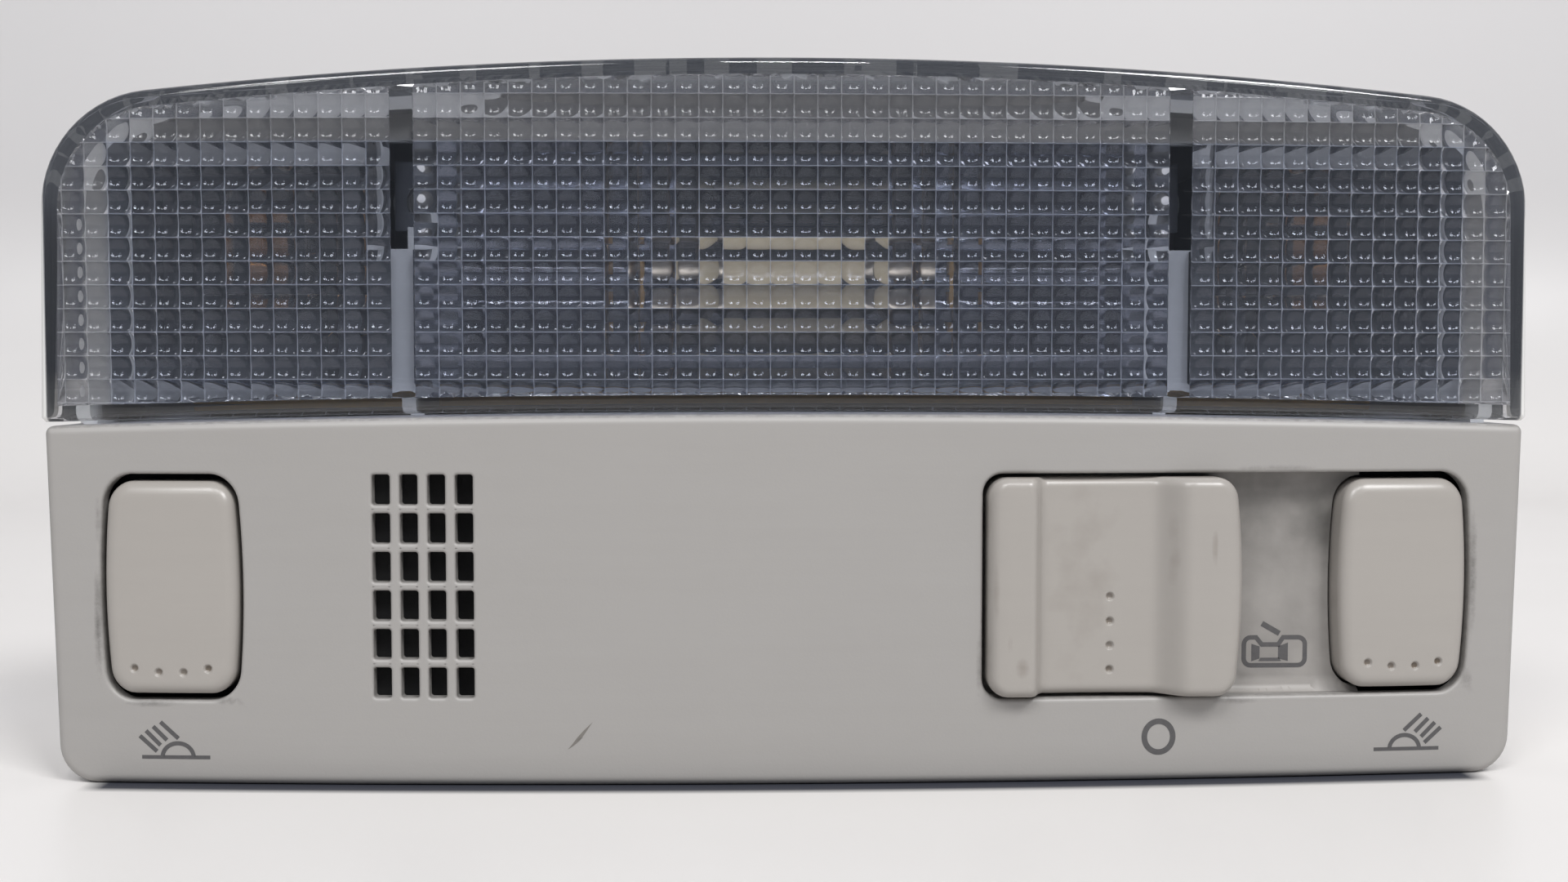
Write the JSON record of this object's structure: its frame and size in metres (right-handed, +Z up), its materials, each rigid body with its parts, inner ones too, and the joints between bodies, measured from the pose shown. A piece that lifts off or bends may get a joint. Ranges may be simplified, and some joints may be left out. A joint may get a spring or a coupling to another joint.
{
  "type": "car dome light",
  "caption": "Car roof light with a ribbed smoked lens, centre and reading lamps, push buttons, a slide switch and a microphone grille.",
  "frame": {"origin": "middle of the lower edge that the light stands on, half way between face and back", "axes": "+X to the right along the long side, +Y into the roof away from the face, +Z up from the foot edge to the arched lens edge"},
  "size_m": [0.1922, 0.0458, 0.0924],
  "materials": {
    "cover_plastic": "moulded, fine satin grain, light warm grey",
    "button_plastic": "moulded, smooth satin, light warm grey",
    "lens_clear": "smoked clear polycarbonate, gloss outside",
    "housing_plastic": "moulded, plain grey",
    "reflector_chrome": "vacuum-metallised plastic",
    "lamp_glass": "thin clear glass",
    "lamp_cap": "dull nickelled brass",
    "tungsten": "bare wire",
    "brass": "stamped sheet",
    "copper": "stamped copper alloy sheet",
    "shade_plastic": "moulded, matt dark",
    "black_plastic": "moulded, matt black",
    "white_plastic": "moulded, natural white",
    "spring_steel": "zinc-plated sheet",
    "screw_steel": "zinc-plated",
    "capsule_metal": "turned can",
    "board_laminate": "glass-fibre laminate",
    "felt": "thin black felt"
  },
  "bodies": {
    "case": {"front_cover": "cover_plastic", "lens": "lens_clear", "rear_housing": "housing_plastic", "centre_reflector": "reflector_chrome", "festoon_glass": "lamp_glass", "festoon_cap_left": "lamp_cap", "festoon_cap_right": "lamp_cap", "festoon_filament": "tungsten", "festoon_clip_left": "brass", "festoon_clip_right": "brass", "reading_shade_left": "shade_plastic", "reading_shade_right": "shade_plastic", "reading_lamp_left": "lamp_glass", "reading_lamp_right": "lamp_glass", "lamp_socket_left": "black_plastic", "lamp_socket_right": "black_plastic", "contact_strip_left": "copper", "contact_strip_right": "copper", "push_switch_left": "black_plastic", "push_switch_right": "black_plastic", "detent_spring": "spring_steel", "circuit_board": "board_laminate", "switch_carrier": "black_plastic", "carrier_screws": "screw_steel", "mic_felt": "felt", "mic_holder": "black_plastic", "mic_capsule": "capsule_metal", "connector_shell": "black_plastic", "connector_pins": "brass", "screw_plate_left": "spring_steel", "screw_plate_right": "spring_steel", "supply_bar": "brass", "earth_bar": "brass"},
    "left_button": {"button_left": "button_plastic"},
    "left_plunger": {"plunger_left": "white_plastic"},
    "right_button": {"button_right": "button_plastic"},
    "right_plunger": {"plunger_right": "white_plastic"},
    "slide": {"slide_knob": "button_plastic", "slide_carriage": "white_plastic", "contact_bridge": "brass"}
  },
  "joints": [
    {"name": "left_button_press", "type": "hinge", "parent": "case", "child": "left_button", "pos_m": [-0.07935, -0.0126, 0.0368], "axis": [1, 0, 0], "range_deg": [0, 4], "stiffness_Nm_per_rad": 0.3, "springref_deg": -5.73},
    {"name": "left_plunger_slide", "type": "slide", "parent": "case", "child": "left_plunger", "axis": [0, 1, 0], "range_m": [0, 0.00122]},
    {"name": "right_button_press", "type": "hinge", "parent": "case", "child": "right_button", "pos_m": [0.07935, -0.0126, 0.0368], "axis": [1, 0, 0], "range_deg": [0, 4], "stiffness_Nm_per_rad": 0.3, "springref_deg": -5.73},
    {"name": "right_plunger_slide", "type": "slide", "parent": "case", "child": "right_plunger", "axis": [0, 1, 0], "range_m": [0, 0.00122]},
    {"name": "slide_travel", "type": "slide", "parent": "case", "child": "slide", "axis": [1, 0, 0], "range_m": [0, 0.0117]}
  ],
  "couplings": [
    {"joint": "left_plunger_slide", "follows": "left_button_press", "m_per_rad": 0.0168},
    {"joint": "right_plunger_slide", "follows": "right_button_press", "m_per_rad": 0.0168}
  ]
}
